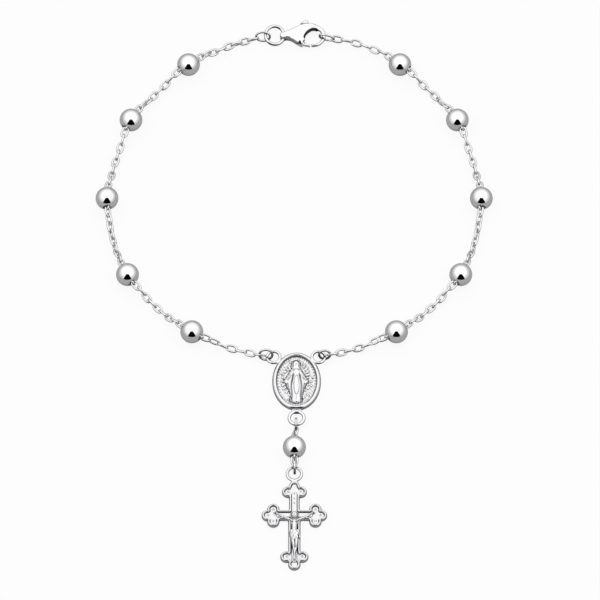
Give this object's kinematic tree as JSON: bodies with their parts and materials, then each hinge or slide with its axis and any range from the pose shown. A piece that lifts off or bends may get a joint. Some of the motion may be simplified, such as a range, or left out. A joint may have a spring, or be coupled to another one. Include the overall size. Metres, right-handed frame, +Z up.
{
  "type": "rosary bracelet",
  "caption": "Bracelet of fine link chain with round station beads, an oval centre medal, a short drop with a crucifix, and a lobster clasp, laid flat in its open loop.",
  "frame": {"origin": "middle of the ring of ten beads, on the surface the bracelet lies on", "axes": "+Y from the crucifix towards the clasp, +X towards the side of the hook's long end link, +Z up from the surface"},
  "size_m": [0.0694, 0.1103, 0.0042],
  "materials": {
    "bead_silver": "mirror polished silver",
    "cast_silver": "polished cast silver",
    "chain_silver": "polished drawn silver wire",
    "clasp_silver": "polished cast silver"
  },
  "bodies": {
    "bracelet": {"medal": "cast_silver", "crucifix": "cast_silver", "bead_left_1": "bead_silver", "bead_left_2": "bead_silver", "bead_left_3": "bead_silver", "bead_left_4": "bead_silver", "bead_left_5": "bead_silver", "bead_right_1": "bead_silver", "bead_right_2": "bead_silver", "bead_right_3": "bead_silver", "bead_right_4": "bead_silver", "bead_right_5": "bead_silver", "bead_drop": "bead_silver", "chain_left": "chain_silver", "chain_right": "chain_silver", "chain_drop": "chain_silver", "clasp_body": "clasp_silver", "clasp_pin": "clasp_silver", "clasp_ring": "chain_silver", "ring_link": "chain_silver", "end_link": "chain_silver", "medal_ring_left": "chain_silver", "medal_ring_right": "chain_silver", "drop_ring_upper": "chain_silver", "drop_ring_lower": "chain_silver"},
    "lever": {"clasp_lever": "clasp_silver"}
  },
  "joints": [
    {"name": "clasp_lever_hinge", "type": "hinge", "parent": "bracelet", "child": "lever", "pos_m": [0.00105, 0.0325, 0.00075], "axis": [0, 0, 1], "range_deg": [0, 25], "stiffness_Nm_per_rad": 0.001, "springref_deg": -11.46}
  ]
}
